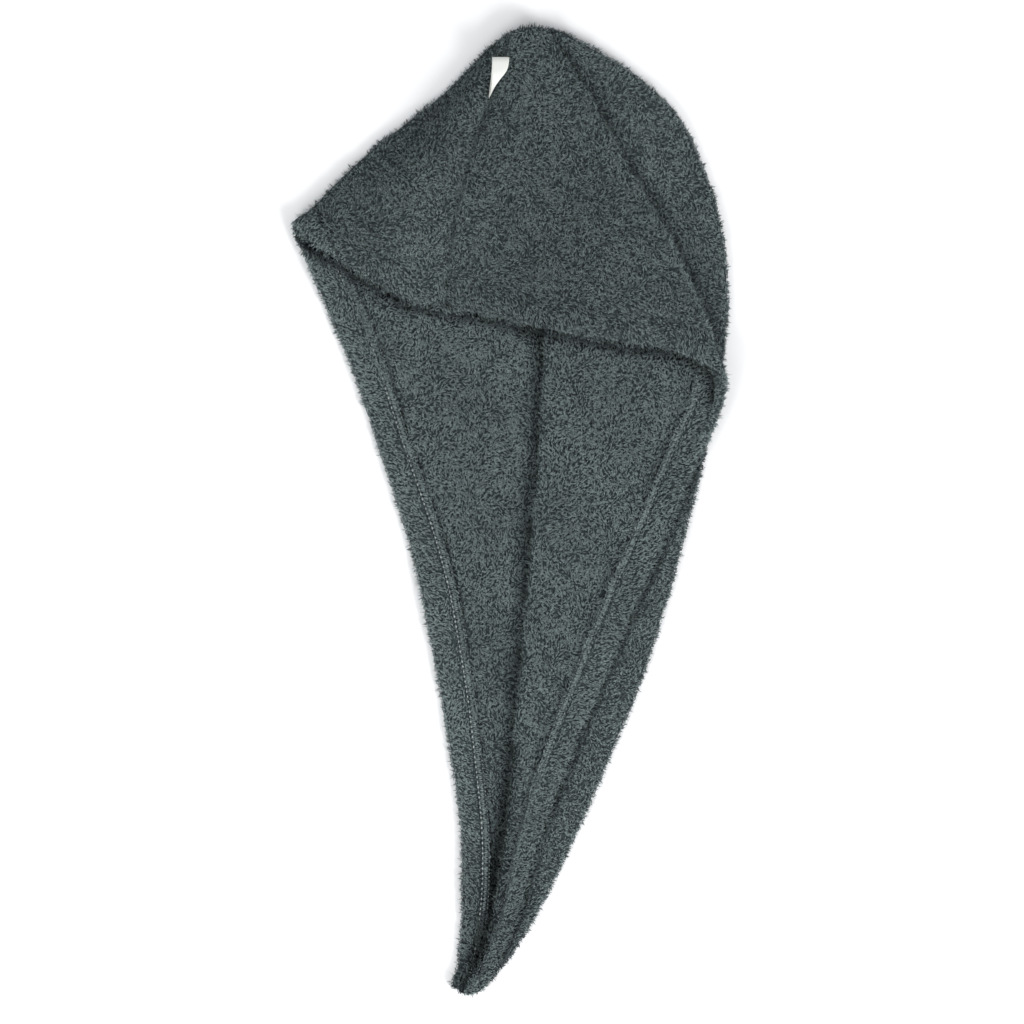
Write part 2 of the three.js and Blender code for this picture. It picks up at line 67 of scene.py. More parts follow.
FRONT_HEM = [
    (0.79, -0.003), (0.755, 0.11), (0.732, 0.19), (0.714, 0.27), (0.706, 0.351), (0.7, 0.44),
    (0.689, 0.54), (0.68, 0.64), (0.672, 0.74), (0.666, 0.84), (0.656, 0.92), (0.631, 1.0),
]
# Lines of painted shadow: under the front hem, turning in at the right corner, and between the hems in the
# tail.
FRONT_SHADOW = FRONT_HEM[:-1] + [(0.645, 0.952), (0.63, 0.966), (0.617, 0.966)]
TAIL_VALLEY = [
    (0.027, 0.422), (0.053, 0.435), (0.094, 0.452), (0.146, 0.474), (0.198, 0.492), (0.25, 0.505),
]
FRONT_SEAM = [
    (0.706, 0.351), (0.76, 0.36), (0.82, 0.383), (0.88, 0.421), (0.93, 0.458), (0.97, 0.486), (1.0, 0.502),
]
CREASE = [
    (0.631, 1.0), (0.662, 0.971), (0.716, 0.928), (0.79, 0.85), (0.87, 0.751), (0.942, 0.666), (0.985, 0.6),
]
LIT_CREASE = 4  # so many of its first rows get a painted highlight

# Soft unevenness of the cloth: wavelength and height of each.
BROAD_WAVE = (0.075, 0.0006)
SMALL_WAVE = (0.022, 0.00025)
LIFTED_AT = 0.004  # the cloth above this height moves fully, and what lies on the floor stays
WELD = 1e-6  # points closer than this are one point
TINY = 1e-12  # so that nothing is divided by 0
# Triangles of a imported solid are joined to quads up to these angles, in degrees, and then subdivided.
JOIN_FACES = 70
JOIN_SHAPES = 80
ROUNDINGS = 2
SEAM_CLOSED = 0.0012  # how far each panel is drawn to the front seam, over this reach
SEAM_REACH = 0.0025
SEAM_LEFT = 0.0001  # from the seam's line to each panel after that
SEAM_DENSE = 1.2  # how much thicker the pile is beside it, over this reach
SEAM_DENSE_REACH = 0.005
# How far a hem is drawn in for the pile on its edge, as (share of its length, distance), and the reach of it.
FRONT_DRAWN = [(0.0, 0.002), (1.0, 0.002)]
RIGHT_DRAWN = [(0.0, 0.0), (0.1, 0.002), (0.8, 0.0025), (0.95, 0.0)]
DRAWN_REACH = 0.016
OVER_LEFT = 0.006  # the front lies above these heights, left and right of the turn
OVER_RIGHT = 0.0145
OVER_STRIP = 0.0065  # and the right hem above this one
# The left corner and the tail's tip are pointed. Rows of (up, across, drawn out in X, in Y, reach).
POINTED = [
    (0.79, -0.003, -0.0028, 0.0052, 0.022),
    (0.006, 0.385, -0.004, -0.0005, 0.014),
]

# How far the tape's right edge is drawn in as it turns on its edge. Rows of (share of the way from its
# bight to its foot, distance).
TAPE_DRAWN = [
    (0.0, 0.0), (0.12, 0.0002), (0.27, 0.0005), (0.42, 0.0011), (0.57, 0.0021), (0.72, 0.0027), (1.0, 0.0027),
]
TAPE_LEFT_DRAWN = 0.0004  # and its left edge, all along
TAPE_ROW = 0.0008  # points this close along the tape lie in one row across it

# Loops of the pile, in metres: lengths, heights and widths before each varies.
TUFT_LENGTH = 0.0029
TUFT_HEIGHT = 0.0015
TUFT_WIDTH = 0.00076
TUFT_VARIES = 0.3
TUFT_ROOT = 0.0004  # how far it starts below the cloth
TUFT_CURL = 0.0009
TUFT_ROLL = 0.6  # about its own length, in radians either way
UNDER_SIZE = 0.6  # of the tufts underneath
TUFTS_IN_ALL = 128000
MOST_TUFTS_IN_A_PIECE = 32000
LOWEST = 0.0001  # no yarn goes below this height
# Which way they lie, in radians from +X.
OUTSIDE_TURN = 0.1
INSIDE_TURN = 1.15
FLOW_WAVE = 0.03  # over which the pile changes its direction
FLOW_TURN = 1.0  # how far, in radians, and how much more from one tuft to the next
FLOW_SCATTER = 0.6
HEM_COMB = 1.2  # how strongly the pile of a hem lies square to its edge
COMB_REACH = 0.02
COMB_FULL = 0.5  # of that reach is combed fully, and over one more reach it fades
WEAK_FLOW = 0.3  # tufts whose direction is nearly their normal turn aside by this much
EDGE_FROM = 0.8  # an edge begins where the cloth's normal has this Z
EDGE_RANGE = 0.6  # and is full where that Z is less by this much
EDGE_STAND = 0.85  # how much the pile of a rounded edge stands out square to it
EDGE_SHORT = 0.22  # how much shorter it is
EDGE_LOCKS = 0.75  # how much that varies from lock to lock
LOCK_WAVE = 0.0042  # how wide a lock is
# Along a yarn, at its root, its middle and its tip: how far forward, up and aside it lies.
YARN_FORWARD = np.array([0.0, 0.45, 1.0])
YARN_UP = np.array([0.0, 1.0, 0.5])
YARN_ASIDE = np.array([0.0, 0.6, -0.5])
YARN_FLAT = 0.4  # height of its middle as a share of its width
# Its faces, and the painted light and shade on its points: darker at the root as painted shade between the
# yarns, lighter on top of the middle and at the tip as painted light. The root is point 0, the middle is 1 to
# 3 and the tip is 4.
YARN_FACES = np.array([(0, 1, 2), (0, 2, 3), (0, 3, 1), (4, 2, 1), (4, 3, 2), (4, 1, 3)])
YARN_PAINTED_LIGHT = np.array([-0.3, -0.02, 0.12, 0.02, 0.14])

# Shades of the pile, from 0 for dark to 1 for light.
OUTSIDE_TONES = (0.08, 0.82)
INSIDE_TONES = (0.3, 0.84)
PATCH_WAVE = 0.06  # soft unevenness of the shade: its wavelength and its depth
PATCH_TONE = 0.035
# Painted shade of sheltered places: the light that the cloth around a place lets in darkens its ground and
# its pile.
SHELTERED = 0.25  # what is left of a shade where no light comes in
LIGHT_POWER = 1.3  # how steeply a shade falls with the light
LIGHT_REACH = 0.022  # cloth within this distance takes light away
LIGHT_START = 0.0012  # of a ray, over the cloth
LIGHT_RAYS = [(0.5, 8), (1.3, 6), (4.0, 3)]  # how steeply they rise, and how many go round
UNSHADED = -0.5  # the normal's Z below which a point takes no shade, as it lies underneath

# How openly a part of the cloth shows, which sets how thick its pile is.
FACES_DOWN = -0.8  # the normal's Z of what lies underneath, and of what lies on top
FACES_UP = 0.6
SHOWN_START = 0.0008  # of a ray, over the cloth
SHOWN_REACH = 0.1
UNDER_SHARE = 0.18  # how thick the pile is underneath, where it is 1 on top
EDGE_RAYS = 8  # so many go round from a place on an edge
EDGE_RISE = 0.6  # and rise this steeply
EDGE_REACH = 0.08
EDGE_SHARE = 0.4  # how much thicker the pile is for each that gets out
MOST_SHARE = 1.3  # at most

# Sewing. Rows of (share of a hem's length, how far in from its edge the needle went).
LEFT_NEEDLE = [
    (0.0, 0.008), (0.12, 0.0121), (0.24, 0.0142), (0.36, 0.0168), (0.5, 0.0184), (0.62, 0.0165),
    (0.71, 0.0158), (0.77, 0.0162), (0.84, 0.0178), (1.0, 0.0172),
]
RIGHT_NEEDLE = [
    (0.0, 0.0045), (0.13, 0.0078), (0.2, 0.0107), (0.33, 0.0147), (0.5, 0.0167), (0.65, 0.0185),
    (1.0, 0.0185),
]
FRONT_NEEDLE = [(0.0, 0.0195), (1.0, 0.0195)]
LEFT_OVERLOCK = 0.0045  # from the needle's line to the overlocked edge
RIGHT_OVERLOCK = 0.0038
STITCH_PITCH = 0.0034
STITCH_WIDTH = 0.0012
STITCH_LIFT = 0.0013
STITCH_COVER = 0.95  # of the pitch
OVERLOCK_PITCH = 0.0026
OVERLOCK_WIDTH = 0.0009
OVERLOCK_LIFT = 0.0013
THREAD_SHADES = (0.2, 0.9)
COVERED = CLOTH / 10  # a stitch with something this far above it is hidden

# Distances along and beside paths.
PATH_STEPS = 240
PATH_SLACK = 0.003  # a point may lie this much past a path's end
FAR_OFF = 1.0  # stands for the offset of a point that doesn't lie beside a path
ABOVE_ALL = 1.0  # rays that look for the topmost cloth start at this height

# Seeds of the random draws. A hem takes the next number too, and a pile the next two.
BROAD_SEED = 3
SMALL_SEED = 4
LOCK_SEED = 5
LEFT_PILE_SEED = 11
RIGHT_PILE_SEED = 21
LEFT_HEM_SEED = 31
RIGHT_HEM_SEED = 41

# Colours: the dark and the light of each yarn, of the ground between the tufts and of the tape.
GROUND_COLORS = ((0.014, 0.019, 0.021), (0.06, 0.078, 0.082))
GROUND_RANGE = (0.35, 0.7)  # of its curls, from dark to light
PILE_COLORS = ((0.0095, 0.017, 0.019), (0.224, 0.284, 0.284))
PILE_SHEEN = 0.12
THREAD_COLORS = ((0.17, 0.2, 0.2), (0.44, 0.49, 0.485))
SOFT_THREAD_COLORS = ((0.06, 0.076, 0.079), (0.25, 0.3, 0.3))
TAPE_COLORS = ((0.7, 0.71, 0.67), (0.84, 0.85, 0.81))
FLOOR_COLOR = (0.93, 0.93, 0.935)
SKY_COLOR = (0.96, 0.98, 1)
# Fine relief: how strong it is and how deep.
CURL_BUMP = (1, 0.0008)
WEAVE_BUMP = (0.6, 0.00015)
# Waves of the tape's weave: along which axis, how fine and how uneven.
TAPE_WAVES = [("X", 320, 0.6), ("Y", 700, 0.8)]

# Lights that aim at the towel: name, place, size and power in watts.
LIGHTS = [("key_light", (1.5, -1.4, 1.5), 1.0, 48), ("far_light", (-1.3, -1.1, 1.4), 1.2, 22)]
SKY_STRENGTH = 0.72
FLOOR_SIZE = 6

# The photograph shows the floor in 1024 pixels of this size, from straight above.
PIXEL = 0.000669
PICTURE = 1024
VIEW_X = 0.0014
VIEW_Y = -0.0010
CAMERA_HEIGHT = 3.0  # over the middle of the towel's own height
MIDDLE_HEIGHT = 0.01
SENSOR = 36  # mm


def smooth_waves(points, wavelength, seed, count=7):
    """A soft random field over points, about 1 high, made of a few plane waves."""
    random = np.random.default_rng(seed)
    ways = random.normal(size=(count, 3))
    ways /= np.linalg.norm(ways, axis=1, keepdims=True)
    phases = random.uniform(0, 2 * math.pi, count)
    turns = points @ ways.T * (2 * math.pi / wavelength) + phases
    return np.sin(turns).sum(axis=1) / math.sqrt(count / 2)


def eased(value):
    value = np.clip(value, 0, 1)
    return value * value * (3 - 2 * value)


def unit(vectors):
    return vectors / np.maximum(np.linalg.norm(vectors, axis=-1, keepdims=True), TINY)


def add_object(name, mesh, material):
    piece = bpy.data.objects.new(name, mesh)
    bpy.context.scene.collection.objects.link(piece)
    mesh.materials.clear()
    mesh.materials.append(material)
    return piece


def mesh_arrays(mesh):
    """Points, triangles and vertex normals of a mesh."""
    mesh.calc_loop_triangles()
    points = np.zeros(len(mesh.vertices) * 3, np.float32)
    mesh.vertices.foreach_get("co", points)
    triangles = np.zeros(len(mesh.loop_triangles) * 3, np.int32)
    mesh.loop_triangles.foreach_get("vertices", triangles)
    normals = np.zeros(len(mesh.vertices) * 3, np.float32)
    mesh.vertices.foreach_get("normal", normals)
    return points.reshape(-1, 3).astype(float), triangles.reshape(-1, 3), normals.reshape(-1, 3).astype(float)


def tree_of(pieces):
    points, faces = [], []
    for piece in pieces:
        found, triangles, _ = mesh_arrays(piece.data)
        faces.extend((triangles + len(points)).tolist())
        points.extend(found.tolist())
    return BVHTree.FromPolygons(points, faces)


# Paths over the towel

def place_of(up, across):
    """X and Y of a place, or of many, given as shares of LENGTH and WIDTH."""
    return np.stack([(across - 0.5) * WIDTH + SHIFT_X, (up - 0.5) * LENGTH + SHIFT_Y], axis=-1)


def smooth_path(rows):
    """Points in X and Y along a table of (up, across), evenly spaced."""
    rows = np.array(rows)
    corners = place_of(rows[:, 0], rows[:, 1])
    lengths = lengths_along(corners)
    slopes = np.gradient(corners, lengths, axis=0)
    at = np.linspace(0, lengths[-1], PATH_STEPS)
    span = np.clip(np.searchsorted(lengths, at, side="right") - 1, 0, len(lengths) - 2)
    width = (lengths[span + 1] - lengths[span])[:, None]
    share = (at - lengths[span])[:, None] / width
    start, end = corners[span], corners[span + 1]
    before, after = slopes[span] * width, slopes[span + 1] * width
    return (
        (2 * share ** 3 - 3 * share ** 2 + 1) * start + (share ** 3 - 2 * share ** 2 + share) * before
        + (3 * share ** 2 - 2 * share ** 3) * end + (share ** 3 - share ** 2) * after
    )


def lengths_along(path):
    """Distance from the path's start at each of its points."""
    return np.concatenate([[0], np.cumsum(np.linalg.norm(np.diff(path, axis=0), axis=1))])


def right_of(path):
    """Directions to the path's right, one at each of its points."""
    ahead = unit(np.gradient(path, axis=0))
    return np.stack([ahead[:, 1], -ahead[:, 0]], axis=1)


def along(rows, share):
    """A table's second column at shares of a path's length."""
    rows = np.array(rows)
    return np.interp(share, rows[:, 0], rows[:, 1])


def inset(path, side, rows, further=0.0):
    """The path moved sideways by a table's distances, to its right (1) or left (-1)."""
    distance = along(rows, np.linspace(0, 1, len(path))) + further
    return path + side * distance[:, None] * right_of(path)


def beside(path, points):
    """How far each point lies to the path's right in X and Y, the direction to that side there, and its
    share of the path's length. A point past the path's ends is FAR_OFF."""
    nearest = np.full(len(points), np.inf)
    at = np.zeros(len(points), int)
    for i, place in enumerate(path):
        away = np.hypot(points[:, 0] - place[0], points[:, 1] - place[1])
        at[away < nearest] = i
        nearest = np.minimum(nearest, away)
    side = right_of(path)[at]
    offset = ((points[:, :2] - path[at]) * side).sum(axis=1)
    return np.where(nearest > np.abs(offset) + PATH_SLACK, FAR_OFF, offset), side, at / (len(path) - 1)


def stretches(path, pitch, cover):
    """Starts and ends along a path: each pitch of it, covered to the given share."""
    lengths = lengths_along(path)
    starts = np.arange(0, lengths[-1] - pitch, pitch)
    at = lambda distance: np.stack([np.interp(distance, lengths, path[:, k]) for k in range(2)], axis=1)
    return at(starts), at(starts + cover * pitch)


left_hem = smooth_path(LEFT_HEM)
right_hem = smooth_path(RIGHT_HEM)
front_hem = smooth_path(FRONT_HEM)
front_seam = smooth_path(FRONT_SEAM)
seam_valley = smooth_path(FRONT_SEAM[1:])
turn_line = smooth_path(TURN)
tail_valley = smooth_path(TAIL_VALLEY)
crease = smooth_path(CREASE)
lit_crease = smooth_path(CREASE[:LIT_CREASE])
front_shadow = smooth_path(FRONT_SHADOW)
left_needle = inset(left_hem, 1, LEFT_NEEDLE)
left_serge = inset(left_hem, 1, LEFT_NEEDLE, LEFT_OVERLOCK)
right_needle = inset(right_hem, -1, RIGHT_NEEDLE)
right_serge = inset(right_hem, -1, RIGHT_NEEDLE, RIGHT_OVERLOCK)
front_needle = inset(front_hem, -1, FRONT_NEEDLE)

# Lines of stitches that pull the cloth in: how deep, how far beside them, and down to which height.
DENTS = [
    (left_needle, 0.0007, 0.0028, 0.002),
    (right_needle, 0.0007, 0.0028, 0.006),
    (front_needle, 0.0003, 0.004, 0.012),
    (front_seam, 0.0007, 0.008, 0.008),
]
# Where a needle's line lies on the pile, from and to which share of LENGTH. Elsewhere the pile hides it.
LEFT_SHOWN = (0.1, 0.61)
RIGHT_SHOWN = (0.26, 0.6)
# Lines along which the pile is short: how short, how far beside them, and where.
THIN_LINES = [(left_needle, 0.3, 0.002, LEFT_SHOWN), (right_needle, 0.45, 0.002, RIGHT_SHOWN)]
SHOWN_FADES = 0.03  # over this share of LENGTH a line fades at its ends
# Patches of painted light and painted shade. Rows of (up, across, reach, share of shade gained, or lost if
# below 0).
PATCHES = [(0.76, 0.3, 0.035, 0.15), (0.745, 0.62, 0.08, -0.2), (0.09, 0.42, 0.08, -0.28)]
# Painted shade beside a line, and painted light where the change is below 0: on its right (1), left (-1) or
# both sides (0), how far, and how much of the shade is lost, or gained if below 0. Shadows are painted under
# the front hem, beside the turn, the crease, the serged edges and the right hem, along the front seam and its
# needle line, and in the tail's valley. The crease's first rows, the front hem's edge, the right side of the
# turn, the hem bands and the strip beside the crease are painted lighter as painted light.
PAINTED_SHADE_LINES = [
    (front_shadow, 1, 0.01, 0.97),
    (front_hem, -1, 0.006, -0.2),
    (turn_line, -1, 0.0045, 0.85),
    (turn_line, -1, 0.012, 0.2),
    (turn_line, 1, 0.006, -0.12),
    (tail_valley, 0, 0.008, 0.62),
    (crease, 1, 0.007, 0.3),
    (crease, 1, 0.06, -0.26),
    (lit_crease, 0, 0.0016, -1.0),
    (right_hem, 1, 0.0055, 0.62),
    (right_hem, 1, 0.03, -0.17),
    (right_hem, -1, 0.02, -0.08),
    (left_hem, 1, 0.025, -0.22),
    (left_serge, 1, 0.0034, 0.8),
    (left_serge, -1, 0.0016, -0.25),
    (right_serge, -1, 0.006, 0.6),
    (right_serge, 1, 0.006, -0.3),
    (seam_valley, 0, 0.0038, 0.5),
    (front_needle, 0, 0.003, 0.13),
]


def below_mouth(points, margin=0.0):
    """Whether each point lies past the front hem's edge, towards the tail."""
    return points[:, 1] < np.interp(points[:, 0], front_hem[:, 0], front_hem[:, 1]) - margin


def within(points, shown):
    """1 for points between two shares of LENGTH, easing off to 0 past them."""
    up = (points[:, 1] - SHIFT_Y) / LENGTH + 0.5
    return eased((up - shown[0]) / SHOWN_FADES + 1) * eased((shown[1] - up) / SHOWN_FADES + 1)


def painted_line_light(points):
    """The painted shade and painted light of the shade lines and of the patches: what they leave of each
    point's shade, or add to it.
    """
    light = np.ones(len(points))
    for path, side, reach, lost in PAINTED_SHADE_LINES:
        offset = beside(path, points)[0]
        away = np.abs(offset) if side == 0 else side * offset
        light *= 1 - lost * np.where(away < 0, 0, 1 - eased(away / reach))
    for up, across, reach, gained in PATCHES:
        away = np.linalg.norm(points[:, :2] - place_of(up, across), axis=1)
        light *= 1 + gained * (1 - eased(away / reach))
    return light


# Materials

def new_material(name):
    material = bpy.data.materials.new(name)
    material.use_nodes = True
    nodes = material.node_tree.nodes
    return material, nodes, material.node_tree.links, nodes["Principled BSDF"]


def add_attribute(nodes, name):
    """The value that the mesh itself holds at each point."""
    attribute = nodes.new("ShaderNodeAttribute")
    attribute.attribute_name = name
    return attribute.outputs["Fac"]


def add_tones(nodes, links, value, colors):
    """A colour between a dark and a light one, by a value from 0 to 1."""
    tone = nodes.new("ShaderNodeValToRGB")
    for element, color in zip(tone.color_ramp.elements, colors):
        element.color = (*color, 1)
    links.new(value, tone.inputs["Fac"])
    return tone


def add_bump(nodes, links, height, relief, shader):
    bump = nodes.new("ShaderNodeBump")
    bump.inputs["Strength"].default_value, bump.inputs["Distance"].default_value = relief
    links.new(height, bump.inputs["Height"])
    links.new(bump.outputs["Normal"], shader.inputs["Normal"])


def terry_ground():
    """The cloth between the tufts: dark, with small curls in its bump, and scaled by its light attribute,
    which paints shade where it is sheltered and painted shade and light beside lines.
    """
    material, nodes, links, shader = new_material("terry_ground")
    place = nodes.new("ShaderNodeTexCoord")
    curls = nodes.new("ShaderNodeTexNoise")
    curls.inputs["Scale"].default_value = 700
    curls.inputs["Detail"].default_value = 3
    curls.inputs["Distortion"].default_value = 1.5
    links.new(place.outputs["Object"], curls.inputs["Vector"])
    tone = add_tones(nodes, links, curls.outputs["Fac"], GROUND_COLORS)
    for element, position in zip(tone.color_ramp.elements, GROUND_RANGE):
        element.position = position
    dimmed = nodes.new("ShaderNodeVectorMath")
    dimmed.operation = "SCALE"
    links.new(tone.outputs["Color"], dimmed.inputs["Vector"])
    links.new(add_attribute(nodes, "light"), dimmed.inputs["Scale"])
    links.new(dimmed.outputs["Vector"], shader.inputs["Base Color"])
    add_bump(nodes, links, curls.outputs["Fac"], CURL_BUMP, shader)
    shader.inputs["Roughness"].default_value = 1
    shader.inputs["Specular IOR Level"].default_value = 0.1
    return material


def yarn(name, colors, sheen):
    """Yarn coloured by its shade attribute, from dark to light: its own tone with painted light and painted
    shade in it.
    """
    material, nodes, links, shader = new_material(name)
    tone = add_tones(nodes, links, add_attribute(nodes, "shade"), colors)
    links.new(tone.outputs["Color"], shader.inputs["Base Color"])
    shader.inputs["Roughness"].default_value = 0.9
    shader.inputs["Specular IOR Level"].default_value = 0.15
    shader.inputs["Sheen Weight"].default_value = sheen
    return material


def woven_tape():
    """Cream elastic: lengthwise ribs, crossed by a fine weft."""
    material, nodes, links, shader = new_material("woven_tape")
    place = nodes.new("ShaderNodeTexCoord")
    both = nodes.new("ShaderNodeMath")
    both.operation = "ADD"
    for term, (axis, fineness, unevenness) in zip(both.inputs, TAPE_WAVES):
        wave = nodes.new("ShaderNodeTexWave")
        wave.bands_direction = axis
        wave.inputs["Scale"].default_value = fineness
        wave.inputs["Distortion"].default_value = unevenness
        links.new(place.outputs["Object"], wave.inputs["Vector"])
        links.new(wave.outputs["Fac"], term)
    share = nodes.new("ShaderNodeMapRange")
    share.inputs["From Max"].default_value = len(TAPE_WAVES)
    links.new(both.outputs["Value"], share.inputs["Value"])
    tone = add_tones(nodes, links, share.outputs["Result"], TAPE_COLORS)
    links.new(tone.outputs["Color"], shader.inputs["Base Color"])
    add_bump(nodes, links, both.outputs["Value"], WEAVE_BUMP, shader)
    shader.inputs["Roughness"].default_value = 0.75
    return material


# The cloth

def soft_copy(node, name, material):
    """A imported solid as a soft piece: its quads back, rounded by subdivision."""
    work = bmesh.new()
    work.from_mesh(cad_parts[node].data)
    bmesh.ops.remove_doubles(work, verts=work.verts, dist=WELD)
    bmesh.ops.join_triangles(
        work, faces=work.faces, angle_face_threshold=math.radians(JOIN_FACES),
        angle_shape_threshold=math.radians(JOIN_SHAPES),
    )
    mesh = bpy.data.meshes.new(name)
    work.to_mesh(mesh)
    work.free()
    piece = add_object(name, mesh, material)
    rounding = piece.modifiers.new("rounding", "SUBSURF")
    rounding.levels = rounding.render_levels = ROUNDINGS
    depsgraph = bpy.context.evaluated_depsgraph_get()
    rounded = bpy.data.meshes.new_from_object(piece.evaluated_get(depsgraph))
    piece.modifiers.clear()
    piece.data = rounded
    bpy.data.meshes.remove(mesh)
    rounded.name = name
    rounded.polygons.foreach_set("use_smooth", np.ones(len(rounded.polygons), bool))
    return piece


def set_points(piece, points):
    piece.data.vertices.foreach_set("co", points.astype(np.float32).ravel())
    piece.data.update()


def add_waves(points):
    """Soft waves in the cloth, none where it lies on the floor."""
    lifted = eased((points[:, 2] - CLOTH / 2) / LIFTED_AT)
    waves = BROAD_WAVE[1] * smooth_waves(points, BROAD_WAVE[0], BROAD_SEED)
    waves += SMALL_WAVE[1] * smooth_waves(points, SMALL_WAVE[0], SMALL_SEED)
    points[:, 2] += lifted * waves


def add_dents(points):
    """Rows of stitches pull the top of the cloth in."""
    for path, depth, reach, lowest in DENTS:
        near = 1 - eased(np.abs(beside(path, points)[0]) / reach)
        top = eased((points[:, 2] - lowest) / (CLOTH / 2))
        points[:, 2] -= depth * near * top


def close_seam(points):
    """Both panels are drawn to the front seam."""
    offset, side, _ = beside(front_seam, points)
    near = (1 - eased(np.abs(offset) / SEAM_REACH)) * (points[:, 2] > LIFTED_AT)
    closed = np.minimum(SEAM_CLOSED * near, np.maximum(np.abs(offset) - SEAM_LEFT, 0))
    points[:, :2] -= (closed * np.sign(offset))[:, None] * side


def draw_hems_in(points):
    """The upper hems make room for the pile that stands out from their edges."""
    front_over = np.where(points[:, 0] < turn_line[-1, 0], OVER_LEFT, OVER_RIGHT)
    for path, rows, over in ((front_hem, FRONT_DRAWN, front_over), (right_hem, RIGHT_DRAWN, OVER_STRIP)):
        offset, side, share = beside(path, points)
        near = (1 - eased(np.abs(offset) / DRAWN_REACH)) * eased((points[:, 2] - over) / CLOTH)
        points[:, :2] -= (along(rows, share) * near)[:, None] * side


def draw_corners_out(points):
    """The left corner and the tail's tip are drawn out to points."""
    for up, across, drawn_x, drawn_y, reach in POINTED:
        near = 1 - eased(np.linalg.norm(points[:, :2] - place_of(up, across), axis=1) / reach)
        points[:, :2] += near[:, None] * np.array([drawn_x, drawn_y])


def shape_cloth(piece):
    """A panel as it really lies: uneven, pulled in by its sewing, with pointed corners."""
    points, _, _ = mesh_arrays(piece.data)
    add_waves(points)
    add_dents(points)
    points[:, 2] = np.maximum(points[:, 2], UNDERSIDE)
    close_seam(points)
    draw_hems_in(points)
    draw_corners_out(points)
    set_points(piece, points)


def narrow_tape(piece):
    """The tape narrows in a soft curve to its foot, where it stands on its edge."""
    points, _, _ = mesh_arrays(piece.data)
    x, y = points[:, 0], points[:, 1]
    level = np.abs(y[:, None] - y) < TAPE_ROW
    left = np.where(level, x, np.inf).min(axis=1)
    right = np.where(level, x, -np.inf).max(axis=1)
    from_left = (x - left) / np.maximum(right - left, WELD)
    from_bight = (y.max() - y) / (y.max() - y.min())
    points[:, 0] += TAPE_LEFT_DRAWN * (1 - from_left) - from_left * along(TAPE_DRAWN, from_bight)
    set_points(piece, points)


def shown_share(tree, place, normal):
    """How openly a place shows: 1 from above, more on an edge, less underneath, and 0 if hidden."""
    start = place + normal * SHOWN_START
    if normal.z < FACES_DOWN:
        hidden = tree.ray_cast(start, Vector((0, 0, -1)), SHOWN_REACH)[0] is not None
        return 0.0 if hidden else UNDER_SHARE
    if normal.z > FACES_UP and tree.ray_cast(start, Vector((0, 0, 1)), SHOWN_REACH)[0] is None:
        return 1.0
    seen = 0
    for turn in np.linspace(0, 2 * math.pi, EDGE_RAYS, endpoint=False):
        way = Vector((math.cos(turn), math.sin(turn), EDGE_RISE)).normalized()
        if normal.dot(way) > 0 and tree.ray_cast(start, way, EDGE_REACH)[0] is None:
            seen += 1
    return min(MOST_SHARE, EDGE_SHARE * seen)


def light_at(tree, place, normal):
    """How much light comes down to a place past the cloth around it, from 0 to 1."""
    if normal.z < UNSHADED:
        return 1.0
    start = place + normal * LIGHT_START
    light = 0.0
    most = 0.0
    for rise, count in LIGHT_RAYS:
        for turn in np.linspace(0, 2 * math.pi, count, endpoint=False):
            way = Vector((math.cos(turn), math.sin(turn), rise)).normalized()
            most += way.z
            if tree.ray_cast(start, way, LIGHT_REACH)[0] is None:
                light += way.z
    return light / most


def survey(piece, tree):
    """A cloth's triangles, the shown area of each, and the light at each point. That light, times the painted
    shade and light of the lines and patches, is kept on its mesh as well, as painted shade for its ground.
    """
    points, triangles, normals = mesh_arrays(piece.data)
    a, b, c = (points[triangles[:, k]] for k in range(3))
    doubled = np.cross(b - a, c - a)
    middles, fronts = (a + b + c) / 3, unit(doubled)
    shares = np.array([shown_share(tree, Vector(at), Vector(front)) for at, front in zip(middles, fronts)])
    seam_near = 1 - eased(np.abs(beside(front_seam, middles)[0]) / SEAM_DENSE_REACH)
    light = np.array([light_at(tree, Vector(at), Vector(normal)) for at, normal in zip(points, normals)])
    light = (SHELTERED + (1 - SHELTERED) * light) ** LIGHT_POWER
    attribute = piece.data.attributes.new("light", "FLOAT", "POINT")
    attribute.data.foreach_set("value", (light * painted_line_light(points)).astype(np.float32))
    return {
        "points": points,
        "triangles": triangles,
        "normals": normals,
        "areas": np.linalg.norm(doubled, axis=1) / 2 * shares * (1 + SEAM_DENSE * seam_near),
        "light": light,
    }


# Yarn: the pile and the sewing thread

def yarn_mesh(name, spine, across, over, wide, shade):
    """Closed little yarns: a point, three corners round the middle and a point, along three places each."""
    root, middle, end = spine[:, 0], spine[:, 1], spine[:, 2]
    corners = np.stack([
        root, middle - across * wide / 2, middle + over * wide * YARN_FLAT, middle + across * wide / 2, end,
    ], axis=1)
    corners[:, :, 2] = np.maximum(corners[:, :, 2], LOWEST)
    faces = (np.arange(len(spine))[:, None, None] * corners.shape[1] + YARN_FACES).reshape(-1, 3)
    mesh = bpy.data.meshes.new(name)
    mesh.from_pydata(corners.reshape(-1, 3).tolist(), [], faces.tolist())
    attribute = mesh.attributes.new("shade", "FLOAT", "POINT")
    attribute.data.foreach_set("value", np.clip(shade, 0, 1).astype(np.float32).ravel())
    mesh.polygons.foreach_set("use_smooth", np.ones(len(mesh.polygons), bool))
    return mesh


